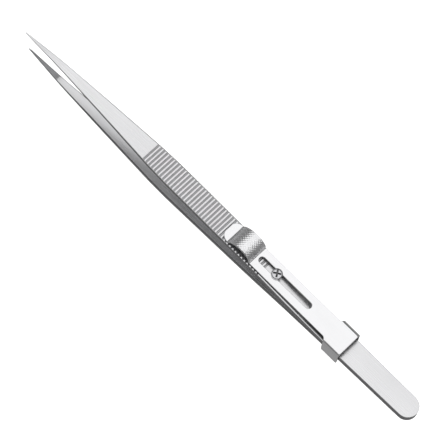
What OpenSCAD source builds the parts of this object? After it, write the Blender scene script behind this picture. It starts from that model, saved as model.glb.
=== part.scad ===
// Slide-lock precision tweezers, lying on the back arm, tips towards +X.
// Origin: middle of the length and width, at the lowest face.
// Inside the modules x runs from the tail end and z from the plane between the arms.

/* [Overall] */
// Length from the round tail end to the tips
length = 160; // [150:1:175]
// Width of the arms from the tail to the grip
arm_w = 7.3; // [7.1:0.1:7.5]
// Width of the round tail end
tail_w = 6.7; // [6.4:0.1:6.9]
// Width of each point
tip_w = 0.4; // [0.3:0.05:0.6]

/* [Arms] */
// Thickness of each arm where the two are welded
tail_t = 1.65; // [1.5:0.05:1.7]
// Thickness of each arm under the slider and the grip
grip_t = 2.2; // [1.9:0.05:2.3]
// Thickness of each point
tip_t = 0.4; // [0.3:0.05:0.6]
// Height of the outer faces above the middle plane at the widest part of the bow
bow_h = 7.45; // [7.3:0.05:7.6]
// Height of the outer faces above the middle plane at the points
tip_h = 5.6; // [5.5:0.05:5.8]
// Where the weld ends and the arms start to part
weld_end = 28; // [26:0.5:29]
// Where each arm bends, and the solid is divided
flex_x = 31; // [30.5:0.1:32]
// Gap left at that division
flex_gap = 0.05; // [0.04:0.01:0.06]
// Where the taper towards the points starts
taper_x = 101; // [99:1:103]

/* [Grip] */
// Number of grooves across each outer face
groove_count = 41; // [30:1:41]
// Distance from groove to groove
groove_pitch = 1.172; // [1.1:0.002:1.18]
// Place of the groove nearest the tips
groove_front = 106; // [105:0.1:107]
// Radius of the groove cutter
groove_r = 0.4; // [0.35:0.05:0.45]
// Depth of each groove
groove_depth = 0.2; // [0.1:0.05:0.25]

/* [Slider] */
// Thickness of the slider's sheet
sheet_t = 0.6; // [0.5:0.05:0.6]
// Width of the narrow plate
plate_w = 6.6; // [6.4:0.1:6.8]
// Slope of the slider along the arm, in degrees
slope = 1.6; // [1.55:0.05:1.65]
// Height of the plate's underside at the screw
plate_h = 5.05; // [5.03:0.01:5.1]
// Front end of the slider
nose_x = 74.1; // [73.8:0.1:74.4]
// Front foot of the thumb arch
arch_front = 71.2; // [71.1:0.1:71.4]
// Rear foot of the thumb arch
arch_rear = 62.8; // [62.7:0.1:62.9]
// Rise of the thumb arch above the plate
arch_rise = 3.9; // [3.4:0.1:4.1]
// Lean of the thumb arch towards the tail, per millimetre of its height
arch_lean = 0.2; // [0:0.05:0.25]
// Outside width over the two ears
ear_w = 9.1; // [9:0.1:9.4]
// Front edge of the ears
ear_front = 32.2; // [32:0.1:32.3]
// Rear edge of the ears
ear_rear = 26.2; // [26:0.1:26.6]
// Inside height of the channel that the ears form
channel_h = 7.6; // [7.6:0.05:7.8]
// Reach of each flange under the back arm, from the ear's outside
flange_reach = 2.0; // [1.5:0.1:2.5]
// Outside radius of the ears' bends
bend_r = 0.95; // [0.8:0.05:1.1]

/* [Slot and screw] */
// Place of the lock screw
screw_x = 54.8; // [54.5:0.1:55]
// Width of the slot
slot_w = 2.1; // [2:0.05:2.2]
// Rear end of the slot
slot_rear = 41.3; // [41:0.1:41.4]
// Front end of the slot
slot_front = 61.7; // [61.5:0.1:61.8]
// Diameter of the screw's shoulder, which runs in the slot
shoulder_d = 1.8; // [1.6:0.05:1.9]
// Diameter of the screw's thread
thread_d = 1.6; // [1.4:0.05:1.6]
// Diameter of the screw's head
head_d = 3.3; // [3:0.1:3.6]
// Height of the screw's head
head_h = 1.15; // [0.9:0.05:1.4]

/* [Hidden] */
$fn = 48;

// Outer face of an arm: place along the tweezers and height above the middle plane
OUTER = [[0, tail_t], [weld_end, tail_t], [46, 2.7], [62, 4.4], [84, 5.75], [108, 6.85],
         [130, bow_h], [141, bow_h], [160, tip_h]];
// Thickness of an arm along the tweezers
THICK = [[0, tail_t], [40, tail_t], [60, grip_t], [102, 2.1], [128, 1.55], [148, 0.85], [160, tip_t]];
profile_step = 2.5;
stretch = length / 160;

// A smooth curve through a list of [place, value] that never overshoots
function rise(p, i) = (p[i + 1][1] - p[i][1]) / (p[i + 1][0] - p[i][0]);
function tangent(p, i) =
    i == 0 ? rise(p, 0) :
    i == len(p) - 1 ? rise(p, i - 1) :
    rise(p, i - 1) * rise(p, i) <= 0 ? 0 :
    2 * rise(p, i - 1) * rise(p, i) / (rise(p, i - 1) + rise(p, i));
function span_of(p, x, i = 0) = i >= len(p) - 2 || x <= p[i + 1][0] ? i : span_of(p, x, i + 1);
function blend(p, i, w, u) =
    p[i][1] * (2 * u * u * u - 3 * u * u + 1) + w * tangent(p, i) * (u * u * u - 2 * u * u + u)
    + p[i + 1][1] * (3 * u * u - 2 * u * u * u) + w * tangent(p, i + 1) * (u * u * u - u * u);
function curve(p, x) =
    let (i = span_of(p, x), w = p[i + 1][0] - p[i][0])
    blend(p, i, w, (x - p[i][0]) / w);
function outer_z(x) = curve(OUTER, x / stretch);
function inner_z(x) = outer_z(x) - curve(THICK, x / stretch);

// Turns the middle of the tail end and the middle plane into the part's own frame
module placed() {
    translate([-length / 2, 0, bow_h]) children();
}

// The slider's own slope, about the place where the screw meets the plate's underside
module sloped() {
    translate([screw_x, 0, plate_h]) rotate([0, -slope, 0]) translate([-screw_x, 0, 0]) children();
}

// Arms ---------------------------------------------------------------------

// Side view of the front arm from place a to place b
module arm_side(a, b) {
    steps = ceil((b - a) / profile_step);
    xs = [for (i = [0:steps]) a + (b - a) * i / steps];
    polygon(concat(
        [for (x = xs) [x, outer_z(x)]],
        [for (i = [steps:-1:0]) [xs[i], inner_z(xs[i])]]));
}

// Outline of an arm seen from above: round tail, parallel sides, long taper, round point
module arm_plan() {
    tail_r = tail_w / 2;
    tip_r = tip_w / 2;
    full_x = 27;
    translate([tail_r, 0]) circle(r = tail_r);
    translate([length - tip_r, 0]) circle(r = tip_r);
    polygon([
        [tail_r, -tail_r], [full_x, -arm_w / 2], [taper_x - 4, -arm_w / 2],
        [taper_x + 3, -arm_w / 2 + 0.2], [length - tip_r, -tip_r],
        [length - tip_r, tip_r], [taper_x + 3, arm_w / 2 - 0.2],
        [taper_x - 4, arm_w / 2], [full_x, arm_w / 2], [tail_r, tail_r]]);
}

// One arm between two places, without its grooves
module arm_bar(a, b) {
    intersection() {
        rotate([90, 0, 0]) translate([0, 0, -arm_w]) linear_extrude(2 * arm_w) arm_side(a, b);
        translate([0, 0, -1]) linear_extrude(bow_h + 2) arm_plan();
    }
}

module grooves() {
    for (i = [0:groove_count - 1]) {
        x = groove_front - i * groove_pitch;
        translate([x, 0, outer_z(x) + groove_r - groove_depth]) rotate([90, 0, 0])
            cylinder(r = groove_r, h = arm_w + 1, center = true, $fn = 24);
    }
}

// Tapped hole for the lock screw
module screw_hole() {
    sloped() translate([screw_x, 0, -grip_t - 2]) cylinder(d = thread_d - 0.1, h = grip_t + 4);
}

module front_arm() {
    color("silver") placed() difference() {
        arm_bar(flex_x + flex_gap / 2, length);
        grooves();
        screw_hole();
    }
}

module back_arm() {
    color("lightgray") placed() mirror([0, 0, 1]) difference() {
        arm_bar(flex_x + flex_gap / 2, length);
        grooves();
    }
}

module front_arm_tail() {
    color("gainsboro") placed() arm_bar(0, flex_x - flex_gap / 2);
}

module back_arm_tail() {
    color("darkgray") placed() mirror([0, 0, 1]) arm_bar(0, flex_x - flex_gap / 2);
}

// Slider -------------------------------------------------------------------

// The thumb arch is an arc of a circle that leans towards the tail.
// These are half its chord, its radius and the middle of its chord.
arch_half = (arch_front - arch_rear) / 2;
arch_r = (arch_half * arch_half + arch_rise * arch_rise) / (2 * arch_rise);
arch_mid = (arch_front + arch_rear) / 2;

// A point of the arch at angle q from its crest, off the sheet's middle by d
function arch_point(q, d) =
    let (h = (arch_r + d) * cos(q) - (arch_r - arch_rise))
    [arch_mid + (arch_r + d) * sin(q) - arch_lean * h, sheet_t / 2 + h];
// The angle at which that arc meets the flat plate's own face
function arch_end(d) = acos((arch_r - arch_rise + d) / (arch_r + d));

// Side view of the strip: flat plate, thumb arch and front tab
module strip_side() {
    steps = 24;
    half = sheet_t / 2;
    turns = [for (i = [0:steps]) 2 * i / steps - 1];
    polygon(concat(
        [[ear_rear, sheet_t]],
        [for (t = turns) arch_point(t * arch_end(half), half)],
        [[nose_x, sheet_t], [nose_x, 0]],
        [for (t = turns) arch_point(-t * arch_end(-half), -half)],
        [[ear_rear, 0]]));
}

// Outline of the strip from above: rounded nose, fillets where it widens into the ears
module strip_plan() {
    nose_r = 1.6;
    fillet_r = 1.4;
    hull_w = plate_w / 2 - nose_r;
    translate([ear_rear - 1, -plate_w / 2]) square([nose_x - nose_r - ear_rear + 1, plate_w]);
    translate([nose_x - 2 * nose_r, -hull_w]) square([2 * nose_r, 2 * hull_w]);
    for (side = [-1, 1]) {
        translate([nose_x - nose_r, side * hull_w]) circle(r = nose_r);
        difference() {
            translate([ear_front - 1, side * (plate_w / 2 + fillet_r / 2) - fillet_r / 2])
                square([fillet_r + 1, fillet_r]);
            translate([ear_front + fillet_r, side * (plate_w / 2 + fillet_r)]) circle(r = fillet_r);
        }
    }
}

module rounded_box(w, h, r) {
    translate([-w / 2 + r, 0]) square([w - 2 * r, h]);
    translate([-w / 2, r]) square([w, h - 2 * r]);
    for (y = [-w / 2 + r, w / 2 - r]) {
        for (z = [r, h - r]) {
            translate([y, z]) circle(r = r);
        }
    }
}

// Cross-section of the channel that the ears and their flanges make, its top at z = sheet_t
module channel_section() {
    outer_h = channel_h + 2 * sheet_t;
    translate([0, -channel_h - sheet_t]) difference() {
        rounded_box(ear_w, outer_h, bend_r);
        translate([0, sheet_t]) rounded_box(ear_w - 2 * sheet_t, channel_h, bend_r - sheet_t);
        translate([-ear_w / 2 + flange_reach, -1]) square([ear_w - 2 * flange_reach, 2]);
    }
}

// Side view of an ear, with rounded lower corners
module ear_side() {
    r = 1.5;
    low = -channel_h - sheet_t;
    translate([ear_rear, low + r]) square([ear_front - ear_rear, channel_h + 2 * sheet_t]);
    translate([ear_rear + r, low]) square([ear_front - ear_rear - 2 * r, 2 * r]);
    for (x = [ear_rear + r, ear_front - r]) translate([x, low + r]) circle(r = r);
}

module ears() {
    intersection() {
        translate([ear_rear, 0, 0]) rotate([90, 0, 90])
            linear_extrude(ear_front - ear_rear) channel_section();
        rotate([90, 0, 0]) translate([0, 0, -ear_w]) linear_extrude(2 * ear_w) ear_side();
    }
}

module slot() {
    r = slot_w / 2;
    translate([slot_rear + r, -r, -1]) cube([slot_front - slot_rear - slot_w, slot_w, 3]);
    for (x = [slot_rear + r, slot_front - r]) translate([x, 0, -1]) cylinder(r = r, h = 3);
}

module slider() {
    color("whitesmoke") placed() sloped() difference() {
        union() {
            intersection() {
                rotate([90, 0, 0]) translate([0, 0, -ear_w]) linear_extrude(2 * ear_w) strip_side();
                translate([0, 0, -1]) linear_extrude(arch_rise + 3) strip_plan();
            }
            ears();
        }
        slot();
    }
}

// Lock screw ---------------------------------------------------------------

// Half of the screw's outline, turned about its own axis; the plate's underside is at z = 0
module screw_half() {
    head_z = sheet_t + 0.03;
    shoulder_z = outer_z(screw_x) + 0.12 - plate_h;
    end_z = inner_z(screw_x) + 0.1 - plate_h;
    edge_h = head_h * 0.55;
    dome = [for (i = [0:6]) [head_d / 2 * cos(15 * i), head_z + edge_h + (head_h - edge_h) * sin(15 * i)]];
    polygon(concat(
        [[0, end_z], [thread_d / 2, end_z], [thread_d / 2, shoulder_z], [shoulder_d / 2, shoulder_z],
         [shoulder_d / 2, head_z], [head_d / 2, head_z]],
        dome));
}

// Cross recess in the head
module cross_recess() {
    arm_l = 1.9;
    arm_t = 0.42;
    depth = 0.65;
    top = sheet_t + 0.03 + head_h;
    for (turn = [33, 123]) {
        rotate([0, 0, turn]) translate([-arm_l / 2, -arm_t / 2, top - depth]) cube([arm_l, arm_t, 1]);
    }
}

module lock_screw() {
    color("slategray") placed() sloped() translate([screw_x, 0, 0]) difference() {
        rotate_extrude() screw_half();
        cross_recess();
    }
}

front_arm();
front_arm_tail();
back_arm();
back_arm_tail();
slider();
lock_screw();
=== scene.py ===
"""Looks for the slide-lock precision tweezers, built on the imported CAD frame.

Shapes are worked out in millimetres: x runs from the tail end to the points, y across the
arms, and z is the height above the plane between the arms, as in the part's source. row()
turns them into the frame's metres.
"""

import math

import bmesh
import bpy
from mathutils import Matrix, Vector, geometry


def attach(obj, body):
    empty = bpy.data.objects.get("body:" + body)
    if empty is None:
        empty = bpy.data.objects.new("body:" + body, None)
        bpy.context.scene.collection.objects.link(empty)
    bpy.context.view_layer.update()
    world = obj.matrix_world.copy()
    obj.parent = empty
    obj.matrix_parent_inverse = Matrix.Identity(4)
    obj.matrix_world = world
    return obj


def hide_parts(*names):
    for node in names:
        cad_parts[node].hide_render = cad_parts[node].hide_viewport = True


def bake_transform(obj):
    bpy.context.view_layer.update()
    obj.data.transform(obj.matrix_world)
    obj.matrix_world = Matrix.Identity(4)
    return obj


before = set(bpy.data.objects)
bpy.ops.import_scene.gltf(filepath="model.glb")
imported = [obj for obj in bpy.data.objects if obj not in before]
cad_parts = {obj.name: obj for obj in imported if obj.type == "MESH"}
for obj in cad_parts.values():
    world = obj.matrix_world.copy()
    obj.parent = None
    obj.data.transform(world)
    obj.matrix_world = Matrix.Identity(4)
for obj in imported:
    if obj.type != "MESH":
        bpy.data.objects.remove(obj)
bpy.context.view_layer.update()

# Sizes of the part, in millimetres -----------------------------------------------------------

MM = 0.001
LENGTH = 160.0
ARM_W, TAIL_W, TIP_W = 7.3, 6.7, 0.4
TAIL_T, GRIP_T, TIP_T = 1.65, 2.2, 0.4
BOW_H, TIP_H = 7.45, 5.6
WELD_END, FLEX_X, TAPER_X = 28.0, 31.0, 101.0
FULL_WIDTH_X = 27.0

GROOVE_COUNT, GROOVE_PITCH, GROOVE_FRONT = 41, 1.172, 106.0
GROOVE_R, GROOVE_DEPTH = 0.4, 0.2

SHEET_T, PLATE_W, PLATE_H = 0.6, 6.6, 5.05
SLOPE = math.radians(1.6)
NOSE_X, ARCH_FRONT, ARCH_REAR, ARCH_RISE, ARCH_LEAN = 74.1, 71.2, 62.8, 3.9, 0.2
EAR_W, EAR_FRONT, EAR_REAR, CHANNEL_H, FLANGE_REACH, BEND_R = 9.1, 32.2, 26.2, 7.6, 2.0, 1.4
SCREW_X, SLOT_W, SLOT_REAR, SLOT_FRONT = 54.8, 2.1, 41.3, 61.7
SHOULDER_D, THREAD_D, HEAD_D, HEAD_H = 1.8, 1.6, 3.3, 1.15

OUTER = [(0, TAIL_T), (WELD_END, TAIL_T), (46, 2.7), (62, 4.4), (84, 5.75), (108, 6.85),
         (130, BOW_H), (141, BOW_H), (160, TIP_H)]
THICK = [(0, TAIL_T), (40, TAIL_T), (60, GRIP_T), (102, 2.1), (128, 1.55), (148, 0.85), (160, TIP_T)]

# Fine detail that only the looks have
KNURL_FROM, KNURL_TO = 147.0, 159.3
KNURL_STEP, KNURL_DEPTH, KNURL_SLANT = 0.11, 0.1, 1.6
ARCH_KNURL_STEP, ARCH_KNURL_DEPTH = 0.15, 0.11
SHEET_EDGE = 0.07
SHARP_ANGLE = math.radians(38)


def row(x, y, z):
    """A point of the part, in millimetres, in the row frame's metres."""
    return Vector(((x - LENGTH / 2) * MM, y * MM, (z + BOW_H) * MM))


def on_slider(x, y, z):
    """The same for a point given along the slider, which slopes up along the arm."""
    dx = x - SCREW_X
    return row(
        SCREW_X + dx * math.cos(SLOPE) - z * math.sin(SLOPE),
        y,
        PLATE_H + dx * math.sin(SLOPE) + z * math.cos(SLOPE),
    )


def curve(points, x):
    """A smooth curve through the points that never overshoots them."""
    last = len(points) - 2
    i = next((k for k in range(last) if x <= points[k + 1][0]), last)

    def rise(k):
        return (points[k + 1][1] - points[k][1]) / (points[k + 1][0] - points[k][0])

    def tangent(k):
        if k == 0:
            return rise(0)
        if k == last + 1:
            return rise(last)
        a, b = rise(k - 1), rise(k)
        return 0.0 if a * b <= 0 else 2 * a * b / (a + b)

    w = points[i + 1][0] - points[i][0]
    u = (x - points[i][0]) / w
    return (
        points[i][1] * (2 * u**3 - 3 * u**2 + 1)
        + w * tangent(i) * (u**3 - 2 * u**2 + u)
        + points[i + 1][1] * (3 * u**2 - 2 * u**3)
        + w * tangent(i + 1) * (u**3 - u**2)
    )


def between(points, x):
    """Straight-line interpolation through the points."""
    if x <= points[0][0]:
        return points[0][1]
    for (xa, va), (xb, vb) in zip(points, points[1:]):
        if x <= xb:
            return va + (vb - va) * (x - xa) / (xb - xa)
    return points[-1][1]


def make_object(name, verts, faces, materials, face_material=None):
    """A mesh object with smooth shading that keeps its sharp edges."""
    mesh = bpy.data.meshes.new(name)
    mesh.from_pydata(verts, [], faces)
    for m in materials:
        mesh.materials.append(m)
    if face_material is not None:
        mesh.polygons.foreach_set("material_index", face_material)
    bm = bmesh.new()
    bm.from_mesh(mesh)
    bmesh.ops.remove_doubles(bm, verts=bm.verts, dist=1e-7)
    bmesh.ops.dissolve_degenerate(bm, edges=bm.edges, dist=1e-7)
    bmesh.ops.recalc_face_normals(bm, faces=bm.faces)
    keep_sharp_edges(bm)
    bm.to_mesh(mesh)
    bm.free()
    obj = bpy.data.objects.new(name, mesh)
    bpy.context.scene.collection.objects.link(obj)
    return obj


def keep_sharp_edges(bm):
    for face in bm.faces:
        face.smooth = True
    for edge in bm.edges:
        edge.smooth = edge.calc_face_angle(0.0) < SHARP_ANGLE


# Materials -----------------------------------------------------------------------------------


class Nodes:
    """Short names for building a material's node tree."""

    def __init__(self, name):
        self.material = bpy.data.materials.new(name)
        self.material.use_nodes = True
        self.tree = self.material.node_tree
        self.shader = self.tree.nodes["Principled BSDF"]
        self.place = self.tree.nodes.new("ShaderNodeTexCoord").outputs["Object"]

    def add(self, kind, inputs=(), **settings):
        node = self.tree.nodes.new(kind)
        for key, value in settings.items():
            setattr(node, key, value)
        for key, value in dict(inputs).items():
            if isinstance(value, bpy.types.NodeSocket):
                self.tree.links.new(value, node.inputs[key])
            else:
                node.inputs[key].default_value = value
        return node

    def noise(self, scale, stretch, detail=3.0, roughness=0.55):
        """Noise with its own stretch along x, y and z; scale is in features per metre."""
        mapping = self.add("ShaderNodeMapping", {"Vector": self.place, "Scale": stretch})
        made = self.add(
            "ShaderNodeTexNoise",
            {"Vector": mapping.outputs["Vector"], "Scale": scale, "Detail": detail, "Roughness": roughness},
        )
        return made.outputs["Fac"]

    def spread(self, value, low, high, from_low=0.25, from_high=0.75):
        return self.add(
            "ShaderNodeMapRange",
            {"Value": value, "From Min": from_low, "From Max": from_high, "To Min": low, "To Max": high},
        ).outputs["Result"]

    def link(self, socket, name):
        self.tree.links.new(socket, self.shader.inputs[name])


def steel(name, colour, roughness, grain, streaks=900.0, tint=0.04):
    """Satin steel, brushed along x: fine streaks in roughness, shade and relief."""
    n = Nodes(name)
    fine = n.noise(streaks, (0.03, 3.0, 3.0))
    broad = n.noise(120.0, (0.4, 1.0, 1.0), detail=2.0)
    shade = n.add("ShaderNodeMix", {"Factor": 0.5, "A": fine, "B": broad}, data_type="FLOAT")
    ramp = n.add("ShaderNodeMix", {"Factor": n.spread(shade.outputs["Result"], 0.0, 1.0, 0.35, 0.65)},
                 data_type="RGBA")
    ramp.inputs["A"].default_value = (*[c * (1 - tint) for c in colour], 1)
    ramp.inputs["B"].default_value = (*[min(1.0, c * (1 + tint)) for c in colour], 1)
    n.link(ramp.outputs["Result"], "Base Color")
    n.link(n.spread(fine, roughness * 0.85, roughness * 1.15), "Roughness")
    n.shader.inputs["Metallic"].default_value = 1.0
    bump = n.add("ShaderNodeBump", {"Height": fine, "Strength": grain, "Distance": 0.00002})
    n.link(bump.outputs["Normal"], "Normal")
    return n.material


ARM_STEEL = steel("arm_satin_steel", (0.70, 0.70, 0.71), 0.26, 0.25)
# Painted shade: the arms' sides are coloured dark steel so they look as if in shade
SHADED_SIDE_STEEL = steel("arm_sides_painted_shade", (0.20, 0.20, 0.205), 0.26, 0.2)
# Painted shade: the knurled inner tips are coloured darker, standing in for shade in the knurl's cuts
KNURL_SHADE_STEEL = steel("knurled_tip_painted_shade", (0.34, 0.34, 0.35), 0.34, 0.2)
# Painted shade: the arms' inner faces are a little darker, standing in for shade between the arms
INNER_SHADE_STEEL = steel("arm_inner_painted_shade", (0.66, 0.66, 0.67), 0.3, 0.25)
# Painted shade: the grip grooves are coloured darker, standing in for shade inside them
GROOVE_SHADE_STEEL = steel("groove_painted_shade", (0.40, 0.40, 0.41), 0.34, 0.2)
ARCH_STEEL = steel("knurled_arch_steel", (0.80, 0.80, 0.81), 0.28, 0.2)
# Painted shade: the slider's underside and its slot walls are dark steel, standing in for shade under the
# sheet
UNDER_SHADE_STEEL = steel("slider_underside_painted_shade", (0.22, 0.22, 0.225), 0.3, 0.2)
SLIDER_STEEL = steel("slider_sheet_steel", (0.83, 0.83, 0.84), 0.22, 0.12, streaks=700.0, tint=0.02)
# Cut-edge finish with painted shade: the slider's outer cut edges are coloured darker than the sheet so they
# look shaded
CUT_EDGE_SHADE_STEEL = steel("slider_cut_edges_painted_shade", (0.62, 0.62, 0.63), 0.32, 0.2)
SCREW_STEEL = steel("screw_turned_steel", (0.62, 0.62, 0.64), 0.24, 0.1)
# Painted shade: the screw's cross recess is near-black steel, standing in for shade inside it
RECESS_SHADE_STEEL = steel("screw_recess_painted_shade", (0.14, 0.14, 0.145), 0.4, 0.1)

# Arms ----------------------------------------------------------------------------------------

EDGE_ARC = 6
OUTER_COLUMNS, INNER_COLUMNS = 10, 22
# Width and depth of the rounding along the outer face's edges, from the tail to the points
EDGE_WIDE = [(0, 0.15), (30, 0.2), (50, 0.5), (100, 0.55), (120, 0.5), (150, 0.25), (160, 0.08)]
EDGE_DEEP = [(0, 0.12), (30, 0.16), (50, 0.22), (100, 0.25), (120, 0.22), (150, 0.1), (160, 0.04)]
INNER_EDGE = [(0, 0.08), (WELD_END, 0.08), (45, 0.35), (130, 0.3), (150, 0.12), (160, 0.08)]
EDGE_SHARE = 0.4
# What each place of an arm's surface is, and the material each of them has
FACE, SIDE, KNURL, INNER, GROOVE = range(5)
ARM_MATERIALS = [ARM_STEEL, SHADED_SIDE_STEEL, KNURL_SHADE_STEEL, INNER_SHADE_STEEL, GROOVE_SHADE_STEEL]
# Painted shade: a groove takes the darker groove steel where it is cut deeper than this
GROOVE_SHADED_FROM = 0.03


def half_width(x):
    tail_r, tip_r = TAIL_W / 2, TIP_W / 2
    if x < tail_r:
        return math.sqrt(max(0.0, tail_r**2 - (tail_r - x) ** 2))
    if x > LENGTH - tip_r:
        return math.sqrt(max(0.0, tip_r**2 - (x - LENGTH + tip_r) ** 2))
    return between(
        [(tail_r, tail_r), (FULL_WIDTH_X, ARM_W / 2), (TAPER_X - 4, ARM_W / 2),
         (TAPER_X + 3, ARM_W / 2 - 0.2), (LENGTH - tip_r, tip_r)], x)


def groove_drop(x):
    """How far the outer face is cut down at x."""
    last = GROOVE_FRONT - (GROOVE_COUNT - 1) * GROOVE_PITCH
    if not last - GROOVE_R < x < GROOVE_FRONT + GROOVE_R:
        return 0.0
    off = abs((GROOVE_FRONT - x + GROOVE_PITCH / 2) % GROOVE_PITCH - GROOVE_PITCH / 2)
    if off >= GROOVE_R:
        return 0.0
    return max(0.0, math.sqrt(GROOVE_R**2 - off**2) - (GROOVE_R - GROOVE_DEPTH))


def knurl_drop(x, y):
    """How far the inner tip is cut down by its crossed diagonal grooves."""
    if not KNURL_FROM <= x <= KNURL_TO:
        return 0.0
    pitch = 4 * KNURL_STEP
    cuts = [abs((k % pitch) / pitch * 2 - 1) for k in (x + KNURL_SLANT * y, x - KNURL_SLANT * y)]
    return KNURL_DEPTH * max(cuts)


def stations():
    """Places along the arm where it has a ring of points, close together where there is detail."""
    tail_r, tip_r = TAIL_W / 2, TIP_W / 2
    xs = [tail_r * (1 - math.cos(math.pi / 2 * i / 12)) for i in range(13)]
    xs += [tail_r + (57.5 - tail_r) * i / 45 for i in range(1, 46)]
    groove_half = math.sqrt(GROOVE_R**2 - (GROOVE_R - GROOVE_DEPTH) ** 2)
    steps = [-GROOVE_PITCH / 2, -groove_half - 0.02, -groove_half, -0.28, -0.19, -0.1, 0.0, 0.1, 0.19,
             0.28, groove_half, groove_half + 0.02]
    for i in range(GROOVE_COUNT):
        centre = GROOVE_FRONT - i * GROOVE_PITCH
        xs += [centre + s for s in steps]
    start = GROOVE_FRONT + GROOVE_PITCH / 2
    xs += [start + (KNURL_FROM - start) * i / 40 for i in range(41)]
    count = round((KNURL_TO - KNURL_FROM) / KNURL_STEP)
    xs += [KNURL_FROM + 0.02 + KNURL_STEP * i for i in range(count)]
    xs += [KNURL_TO + 0.1, LENGTH - tip_r - 0.2]
    xs += [LENGTH - tip_r + tip_r * math.sin(math.pi / 2 * i / 6) for i in range(7)]
    return sorted(set(round(x, 4) for x in xs))


def arm_ring(x):
    """Cross-section of an arm at x, as (y, z, kind of surface)."""
    w = half_width(x)
    top, t = curve(OUTER, x), curve(THICK, x)
    wide = min(between(EDGE_WIDE, x), EDGE_SHARE * w)
    deep = min(between(EDGE_DEEP, x), 0.75 * t)
    inner = min(between(INNER_EDGE, x), EDGE_SHARE * w, 0.2 * t)
    drop = groove_drop(x)
    outer = GROOVE if drop > GROOVE_SHADED_FROM else FACE
    half = []
    for i in range(OUTER_COLUMNS + 1):
        half.append(((w - wide) * i / OUTER_COLUMNS, top - drop, outer))
    for i in range(1, EDGE_ARC + 1):
        a = math.pi / 2 * i / EDGE_ARC
        z = top - deep * (1 - math.cos(a))
        half.append((w - wide + wide * math.sin(a), min(z, top - drop), outer))
    for i in range(EDGE_ARC):
        a = math.pi / 2 * i / EDGE_ARC
        half.append((w - inner + inner * math.cos(a), top - t + inner * (1 - math.sin(a)), SIDE))
    knurled = KNURL_FROM <= x <= KNURL_TO
    for i in range(INNER_COLUMNS + 1):
        y = (w - inner) * (1 - i / INNER_COLUMNS)
        half.append((y, top - t + knurl_drop(x, y), KNURL if knurled else INNER))
    left = [(-y, z if kind != KNURL else top - t + knurl_drop(x, -y), kind) for y, z, kind in half]
    return half + left[::-1][1:-1]


def kind_between(kinds):
    """What a face of the arm is, from its four corners."""
    if kinds in ({KNURL}, {GROOVE}):
        return min(kinds)
    if SIDE in kinds:
        return SIDE
    return INNER if kinds & {INNER, KNURL} else FACE


def make_arm(name, side):
    """One arm as a single unbroken strip. side is 1 for the front arm and -1 for the back arm."""
    rings = [(x, arm_ring(x)) for x in stations()]
    count = len(rings[0][1])
    verts = [row(x, y, side * z) for x, ring in rings for y, z, _ in ring]
    faces, parts = [], []
    for i in range(len(rings) - 1):
        for j in range(count):
            k = (j + 1) % count
            a, b = i * count, (i + 1) * count
            faces.append((a + j, a + k, b + k, b + j))
            parts.append(kind_between({rings[n][1][m][2] for n in (i, i + 1) for m in (j, k)}))
    for ring in (0, len(rings) - 1):
        faces.append(tuple(ring * count + j for j in range(count)))
        parts.append(FACE)
    return make_object(name, verts, faces, ARM_MATERIALS, parts)


# Slider --------------------------------------------------------------------------------------

# What each face of the slider is, and the material each of them has
SHEET, ARCH, CUT, UNDER = range(4)
SLIDER_MATERIALS = [SLIDER_STEEL, ARCH_STEEL, CUT_EDGE_SHADE_STEEL, UNDER_SHADE_STEEL]
HALF_T = SHEET_T / 2
# The thumb arch is an arc of a circle that leans towards the tail, with a small fillet at each foot
ARCH_HALF = (ARCH_FRONT - ARCH_REAR) / 2
ARCH_R = (ARCH_HALF**2 + ARCH_RISE**2) / (2 * ARCH_RISE)
ARCH_MID = (ARCH_FRONT + ARCH_REAR) / 2
ARCH_CENTRE = ARCH_RISE - ARCH_R
FOOT_R = 0.48
FOOT_TURN = math.acos((FOOT_R - ARCH_CENTRE) / (ARCH_R + FOOT_R))
FOOT_X = (ARCH_R + FOOT_R) * math.sin(FOOT_TURN)
REAR_LINE = ARCH_MID - FOOT_X
FRONT_LINE = ARCH_MID + FOOT_X
FOOT_ARC, ARCH_ARC = FOOT_R * FOOT_TURN, 2 * ARCH_R * FOOT_TURN
ARCH_START = REAR_LINE + FOOT_ARC
ARCH_END = ARCH_START + ARCH_ARC
NOSE_START = ARCH_END + FOOT_ARC
NOSE_END = NOSE_START + NOSE_X - FRONT_LINE

# Across the ears: flat top, bend, wall, bend, flange
FLAT_Y = EAR_W / 2 - BEND_R
BEND_MID = BEND_R - HALF_T
BEND_ARC = BEND_MID * math.pi / 2
WALL = CHANNEL_H + 2 * SHEET_T - 2 * BEND_R
WALL_START = FLAT_Y + BEND_ARC
WALL_END = WALL_START + WALL
FLANGE_START = WALL_END + BEND_ARC
FLANGE_END = FLANGE_START + FLANGE_REACH - BEND_R


def strip_at(s):
    """Middle of the sheet at developed length s: (x, height, angle the sheet has turned up by)."""
    if s <= REAR_LINE:
        return s, 0.0, 0.0
    if s < ARCH_START:
        a = (s - REAR_LINE) / FOOT_R
        return REAR_LINE + FOOT_R * math.sin(a), FOOT_R * (1 - math.cos(a)), a
    if s <= ARCH_END:
        a = FOOT_TURN - (s - ARCH_START) / ARCH_R
        return ARCH_MID - ARCH_R * math.sin(a), ARCH_CENTRE + ARCH_R * math.cos(a), a
    if s < NOSE_START:
        a = (s - NOSE_START) / FOOT_R
        return FRONT_LINE + FOOT_R * math.sin(a), FOOT_R * (1 - math.cos(a)), a
    return FRONT_LINE + s - NOSE_START, 0.0, 0.0


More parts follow.
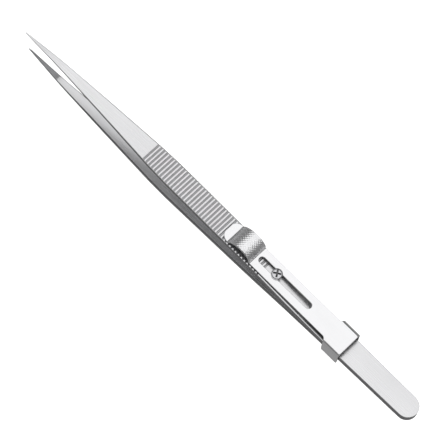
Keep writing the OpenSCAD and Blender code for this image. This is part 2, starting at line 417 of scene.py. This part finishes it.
def across_at(t, d):
    """Across the ears at developed width t, off the sheet's middle by d: (y, height)."""
    side, t = (1 if t >= 0 else -1), abs(t)
    low = -(WALL + 2 * BEND_MID)
    if t <= FLAT_Y:
        return side * t, d
    if t <= WALL_START:
        a = (t - FLAT_Y) / BEND_MID
        return side * (FLAT_Y + (BEND_MID + d) * math.sin(a)), -BEND_MID + (BEND_MID + d) * math.cos(a)
    if t <= WALL_END:
        return side * (FLAT_Y + BEND_MID + d), -BEND_MID - (t - WALL_START)
    if t <= FLANGE_START:
        a = (t - WALL_END) / BEND_MID
        return (side * (FLAT_Y + (BEND_MID + d) * math.cos(a)),
                low + BEND_MID - (BEND_MID + d) * math.sin(a))
    return side * (FLAT_Y - (t - FLANGE_START)), low - d


def sheet_point(s, t, d):
    """A point of the slider's sheet from its flat pattern, off the sheet's middle by d."""
    if s <= REAR_LINE:
        y, h = across_at(t, d)
        return on_slider(s, y, HALF_T + h)
    x, h, a = strip_at(s)
    lean = ARCH_LEAN * h
    return on_slider(x - d * math.sin(a) - lean, t, HALF_T + h + d * math.cos(a))


def arc(cx, cy, rx, ry, a, b, steps):
    """Points of an ellipse's arc from angle a to angle b, in degrees."""
    turns = [math.radians(a + (b - a) * i / steps) for i in range(steps + 1)]
    return [(cx + rx * math.cos(q), cy + ry * math.sin(q)) for q in turns]


def pattern_outline():
    """The slider's flat pattern, one side from the nose to the rear edge, then mirrored."""
    nose_wide, nose_long, fillet = 2.1, 2.7, 1.3
    half = PLATE_W / 2
    corner_s, corner_t = 1.3, 1.6
    side = arc(NOSE_END - nose_long, half - nose_wide, nose_long, nose_wide, 0, 90, 12)
    x = NOSE_END - nose_long - 0.4
    while x > EAR_FRONT + fillet + 0.3:
        side.append((x, half))
        x -= 0.45
    side += arc(EAR_FRONT + fillet, half + fillet, fillet, fillet, 270, 180, 8)
    front_from = half + fillet
    front_run = WALL_END - corner_t - front_from
    side += [(EAR_FRONT, front_from + front_run * i / 12) for i in range(1, 12)]
    side += arc(EAR_FRONT - corner_s, WALL_END - corner_t, corner_s, corner_t + BEND_ARC, 0, 90, 8)
    front_low, rear_low = EAR_FRONT - corner_s, EAR_REAR + corner_s * 0.5
    side += [(front_low - 0.15, FLANGE_END), (rear_low + 0.15, FLANGE_END)]
    side += arc(rear_low, WALL_END - corner_t * 0.4, corner_s * 0.5, corner_t * 0.4 + BEND_ARC, 90, 180, 6)
    side += [(EAR_REAR, WALL_END - 1.0 - (WALL_END - 1.6) * i / 16) for i in range(17)]
    middle = [(EAR_REAR, 0.0)]
    return side + middle + [(s, -t) for s, t in reversed(side)]


def slot_outline():
    r = SLOT_W / 2
    points = arc(SLOT_FRONT - r, 0, r, r, -90, 90, 14)
    points += [(SLOT_FRONT - r - (SLOT_FRONT - SLOT_REAR - SLOT_W) * i / 24, r) for i in range(1, 24)]
    points += arc(SLOT_REAR + r, 0, r, r, 90, 270, 14)
    points += [(SLOT_REAR + r + (SLOT_FRONT - SLOT_REAR - SLOT_W) * i / 24, -r) for i in range(1, 24)]
    return points


def inset(points, by):
    """The closed outline moved to its left by a small distance."""
    moved = []
    n = len(points)
    for i, (x, y) in enumerate(points):
        ax, ay = points[i - 1]
        bx, by_ = points[(i + 1) % n]
        d1 = Vector((x - ax, y - ay)).normalized()
        d2 = Vector((bx - x, by_ - y)).normalized()
        n1, n2 = Vector((-d1.y, d1.x)), Vector((-d2.y, d2.x))
        m = n1 + n2
        m = m / max(0.5, m.dot(m) / 2)
        moved.append((x + m.x * by, y + m.y * by))
    return moved


def turns_left(points):
    area = sum(a[0] * b[1] - b[0] * a[1] for a, b in zip(points, points[1:] + points[:1]))
    return area > 0


def arch_lattice():
    """Points of the arch's diamond knurling in the flat pattern, with each one's cut depth."""
    h = ARCH_KNURL_STEP / math.sqrt(2)
    found = {}
    reach = PLATE_W / 2 - 0.22
    start, end = ARCH_START + 0.1, ARCH_END - 0.1
    count = int((end - start) / h) + 1
    wide = int(reach / h) + 1
    for m in range(count):
        for n in range(-wide, wide + 1):
            if (m + n) % 2:
                continue
            s, t = start + m * h, n * h
            if abs(t) > reach or s > end:
                continue
            i, j = (m + n) // 2, (m - n) // 2
            cut = max(1 - min(k % 4, 4 - k % 4) / 2 for k in (i, j))
            found[(round(s, 4), round(t, 4))] = cut * ARCH_KNURL_DEPTH
    return found


def ear_lattice():
    """Points across the ears, close enough together to follow their bends."""
    rows = [FLAT_Y * i / 4 for i in range(5)]
    rows += [FLAT_Y + BEND_ARC * i / 7 for i in range(1, 8)]
    rows += [WALL_START + WALL * i / 6 for i in range(1, 7)]
    rows += [WALL_END + BEND_ARC * i / 7 for i in range(1, 8)]
    found = []
    s = EAR_REAR + 0.45
    while s < EAR_FRONT - 0.3:
        found += [(s, sign * t) for t in rows for sign in (1, -1)]
        s += 0.55
    return found


def foot_lattice():
    """Points across the arch's feet and the plain strip on each side of them."""
    lines = [REAR_LINE + FOOT_ARC * i / 6 for i in range(7)]
    lines += [ARCH_END + FOOT_ARC * i / 6 for i in range(7)]
    across = [(PLATE_W / 2 - 0.25) * i / 8 for i in range(-8, 9)]
    return [(s, t) for s in lines for t in across]


def inside(point, outline):
    x, y = point
    hit = False
    for (ax, ay), (bx, by) in zip(outline, outline[1:] + outline[:1]):
        if (ay > y) != (by > y) and x < ax + (y - ay) * (bx - ax) / (by - ay):
            hit = not hit
    return hit


def make_slider():
    outer, slot = pattern_outline(), slot_outline()
    outer = outer if turns_left(outer) else outer[::-1]
    slot = slot[::-1] if turns_left(slot) else slot
    rims = [outer, slot]
    insets = [inset(outer, SHEET_EDGE), inset(slot, SHEET_EDGE)]
    knurl = arch_lattice()
    room = inset(outer, 0.2)
    hole = inset(slot, 0.2)
    loose = [p for p in list(knurl) + ear_lattice() + foot_lattice()
             if inside(p, room) and not inside(p, hole)]
    points, edges = [], []
    for loop in insets:
        base = len(points)
        points += loop
        edges += [(base + i, base + (i + 1) % len(loop)) for i in range(len(loop))]
    points += loose
    flat, _, tris, origin, _, _ = geometry.delaunay_2d_cdt(
        [Vector(p) for p in points], edges, [], 0, 1e-5)
    hole_loop = insets[1]
    keep = []
    for tri in tris:
        cx = sum(flat[i].x for i in tri) / 3
        cy = sum(flat[i].y for i in tri) / 3
        if inside((cx, cy), insets[0]) and not inside((cx, cy), hole_loop):
            keep.append(tuple(tri))
    n = len(flat)
    verts, faces, parts = [], [], []
    for d in (HALF_T, -HALF_T):
        for p in flat:
            cut = knurl.get((round(p.x, 4), round(p.y, 4)), 0.0) if d > 0 else 0.0
            verts.append(sheet_point(p.x, p.y, d - cut))
    for tri in keep:
        on_arch = all(ARCH_START < flat[i].x < ARCH_END for i in tri)
        faces.append(tri)
        parts.append(ARCH if on_arch else SHEET)
        faces.append(tuple(n + i for i in reversed(tri)))
        parts.append(UNDER)
    where = {}
    for index, ids in enumerate(origin):
        for i in ids:
            where[i] = index
    base = 0
    for rim, loop in zip(rims, insets):
        ring = len(verts)
        verts += [sheet_point(s, t, HALF_T - SHEET_EDGE) for s, t in rim]
        verts += [sheet_point(s, t, SHEET_EDGE - HALF_T) for s, t in rim]
        m = len(rim)
        for i in range(m):
            k = (i + 1) % m
            top_i, top_k = where[base + i], where[base + k]
            faces.append((top_i, top_k, ring + k, ring + i))
            faces.append((ring + i, ring + k, ring + m + k, ring + m + i))
            faces.append((ring + m + i, ring + m + k, n + top_k, n + top_i))
            # The slot's walls take the underside's painted shade too
            parts += [SHEET, CUT, UNDER] if rim is outer else [SHEET, UNDER, UNDER]
        base += m
    return make_object("slider_formed_sheet", verts, faces, SLIDER_MATERIALS, parts)


# Lock screw ----------------------------------------------------------------------------------


HEAD_GAP = 0.03
RECESS_TURN = 33


def screw_outline():
    """Half of the screw's outline, from the bottom of the thread to the middle of the head."""
    head_z = SHEET_T + HEAD_GAP
    shoulder_z = curve(OUTER, SCREW_X) + 0.12 - PLATE_H
    end_z = curve(OUTER, SCREW_X) - curve(THICK, SCREW_X) + 0.1 - PLATE_H
    edge_h = HEAD_H * 0.55
    r = HEAD_D / 2
    points = [(0, end_z), (THREAD_D / 2 - 0.15, end_z), (THREAD_D / 2, end_z + 0.15)]
    points += [(THREAD_D / 2, shoulder_z), (SHOULDER_D / 2, shoulder_z), (SHOULDER_D / 2, head_z)]
    points += [(r - 0.1, head_z), (r, head_z + 0.1)]
    turns = [math.radians(a) for a in range(0, 91, 9)]
    dome_z, dome_h = head_z + edge_h, HEAD_H - edge_h
    points += [(r * math.cos(a), dome_z + dome_h * math.sin(a)) for a in turns]
    return points


def lathe(outline, steps):
    verts, faces = [], []
    for r, z in outline:
        for i in range(steps):
            a = 2 * math.pi * i / steps
            verts.append((r * math.cos(a), r * math.sin(a), z))
    for j in range(len(outline) - 1):
        for i in range(steps):
            k = (i + 1) % steps
            faces.append((j * steps + i, j * steps + k, (j + 1) * steps + k, (j + 1) * steps + i))
    return verts, faces


def recess_cutter():
    """A cross-shaped cutter with flared wings, narrower at the bottom."""
    top = SHEET_T + HEAD_GAP + HEAD_H
    levels = [(top + 0.3, 1.3, 0.3), (top - 0.2, 1.15, 0.27), (top - 0.62, 0.5, 0.2)]
    verts, faces = [], []
    for turn in (0, 90):
        base = len(verts)
        c, s = math.cos(math.radians(RECESS_TURN + turn)), math.sin(math.radians(RECESS_TURN + turn))
        for z, long, half in levels:
            for x, y in ((-long, -half), (long, -half), (long, half), (-long, half)):
                verts.append((x * c - y * s, x * s + y * c, z - 0.004 * (turn > 0)))
        faces.append(tuple(base + i for i in (3, 2, 1, 0)))
        for level in range(len(levels) - 1):
            a = base + 4 * level
            faces += [(a + i, a + (i + 1) % 4, a + 4 + (i + 1) % 4, a + 4 + i) for i in range(4)]
        faces.append(tuple(base + 4 * (len(levels) - 1) + i for i in range(4)))
    return verts, faces


def placed_on_slider(verts):
    return [on_slider(SCREW_X + x, y, z) for x, y, z in verts]


def make_screw():
    verts, faces = lathe(screw_outline(), 64)
    screw = make_object("lock_screw_turned", placed_on_slider(verts), faces, [SCREW_STEEL, RECESS_SHADE_STEEL])
    verts, faces = recess_cutter()
    cutter = make_object("recess_cutter", placed_on_slider(verts), faces, [RECESS_SHADE_STEEL])
    cut = screw.modifiers.new("recess", "BOOLEAN")
    cut.operation, cut.object, cut.solver = "DIFFERENCE", cutter, "EXACT"
    cut.use_self = True
    cut.material_mode = "TRANSFER"
    bpy.context.view_layer.update()
    made = bpy.data.meshes.new_from_object(screw.evaluated_get(bpy.context.evaluated_depsgraph_get()))
    screw.modifiers.clear()
    screw.data = made
    bpy.data.objects.remove(cutter)
    bm = bmesh.new()
    bm.from_mesh(made)
    keep_sharp_edges(bm)
    bm.to_mesh(made)
    bm.free()
    return screw


# Studio --------------------------------------------------------------------------------------

AZIMUTH, ELEVATION, ROLL = math.radians(223.36), math.radians(70.0), math.radians(2.395)
CAMERA_DISTANCE = 0.50386
CAMERA_TARGET = Vector((-0.00262, -0.001376, 0.00745))
CAMERA_LENS, SENSOR = 140.625, 36.0
# Heights of the floor and of the card over it, and how much each stage piece glows
FLOOR_Z, CARD_Z = -0.0004, -0.0003
FLOOR_GLOW, DARK_CARD_GLOW, GREY_CARD_GLOW, WORLD_GLOW = 0.8, 0.14, 0.30, 0.12
FLOOR_DIFFUSE, CARD_DIFFUSE = 0.6, 0.02
LAMP_HEIGHT, LAMP_SIZE, LAMP_RADIANCE = 1.0, 2.2, 1.0


def make_camera():
    right = Vector((math.cos(AZIMUTH), math.sin(AZIMUTH), 0))
    back = Vector((math.sin(AZIMUTH) * math.cos(ELEVATION), -math.cos(AZIMUTH) * math.cos(ELEVATION),
                   math.sin(ELEVATION)))
    up = back.cross(right)
    rolled = right * math.cos(ROLL) + up * math.sin(ROLL)
    up = back.cross(rolled)
    data = bpy.data.cameras.new("camera")
    data.lens, data.sensor_width = CAMERA_LENS, SENSOR
    data.clip_start, data.clip_end = 0.01, 20.0
    camera = bpy.data.objects.new("camera", data)
    bpy.context.scene.collection.objects.link(camera)
    basis = Matrix((rolled, up, back)).transposed().to_4x4()
    camera.matrix_world = Matrix.Translation(CAMERA_TARGET + back * CAMERA_DISTANCE) @ basis
    bpy.context.scene.camera = camera


def glowing(name, colour, strength, diffuse):
    """A pale surface that is lit and also glows a little, as a light table does."""
    material = bpy.data.materials.new(name)
    material.use_nodes = True
    shader = material.node_tree.nodes["Principled BSDF"]
    shader.inputs["Base Color"].default_value = (*[diffuse * c for c in colour], 1)
    shader.inputs["Roughness"].default_value = 0.9
    shader.inputs["Specular IOR Level"].default_value = 0.0
    shader.inputs["Emission Color"].default_value = (*colour, 1)
    shader.inputs["Emission Strength"].default_value = strength
    return material


def make_floor():
    """A round pale floor whose rim curves up into the backdrop."""
    outline = [(0.0, 0.0), (0.3, 0.0), (0.8, 0.0), (1.5, 0.0)]
    outline += [(1.5 + 0.6 * math.sin(math.radians(a)), 0.6 * (1 - math.cos(math.radians(a))))
                for a in range(10, 91, 10)]
    outline += [(2.1, 1.6)]
    verts, faces = lathe([(r, z + FLOOR_Z) for r, z in outline], 72)
    floor = make_object("floor", verts, faces, [glowing("pale_floor", (1, 1, 1), FLOOR_GLOW, FLOOR_DIFFUSE)])


def only_in_reflections(card):
    card.visible_camera = False
    card.visible_shadow = False
    card.visible_diffuse = False
    card.visible_transmission = False


def make_flags():
    """A ring of dark card around the table, seen only in reflections, which gives steel its dark edges."""
    verts, faces = lathe([(0.6, 0.0), (0.6, 0.5)], 48)
    dark = glowing("dark_card", (1, 1, 1), DARK_CARD_GLOW, CARD_DIFFUSE)
    ring = make_object("flag_ring", verts, faces, [dark])
    only_in_reflections(ring)


def make_table_card():
    """A grey card over the floor, seen only in reflections, so the steel's undersides stay dark."""
    verts, faces = lathe([(0.0, CARD_Z), (0.58, CARD_Z)], 48)
    grey = glowing("grey_card", (1, 1, 1), GREY_CARD_GLOW, CARD_DIFFUSE)
    card = make_object("table_card", verts, faces, [grey])
    only_in_reflections(card)


def area_light(name, place, target, size, radiance):
    data = bpy.data.lights.new(name, "AREA")
    data.shape = "DISK"
    data.size = size
    data.energy = radiance * math.pi * math.pi * size * size / 4
    light = bpy.data.objects.new(name, data)
    bpy.context.scene.collection.objects.link(light)
    light.location = place
    light.rotation_mode = "QUATERNION"
    light.rotation_quaternion = (Vector(target) - Vector(place)).to_track_quat("-Z", "Y")
    return light


def make_studio():
    scene = bpy.context.scene
    scene.view_settings.view_transform = "Standard"
    world = bpy.data.worlds.new("studio")
    world.use_nodes = True
    world.node_tree.nodes["Background"].inputs["Color"].default_value = (1, 1, 1, 1)
    world.node_tree.nodes["Background"].inputs["Strength"].default_value = WORLD_GLOW
    scene.world = world
    make_floor()
    make_flags()
    make_table_card()
    area_light("overhead", (0, 0, LAMP_HEIGHT), (0, 0, 0), LAMP_SIZE, LAMP_RADIANCE)
    make_camera()


def main():
    for name, side in (("front_arm", 1), ("back_arm", -1)):
        arm = make_arm(name + "_strip", side)
        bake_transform(arm)
        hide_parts(name, name + "_tail")
    slider = make_slider()
    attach(slider, "slider")
    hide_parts("slider")
    screw = make_screw()
    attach(screw, "front_arm")
    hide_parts("lock_screw")
    make_studio()


main()
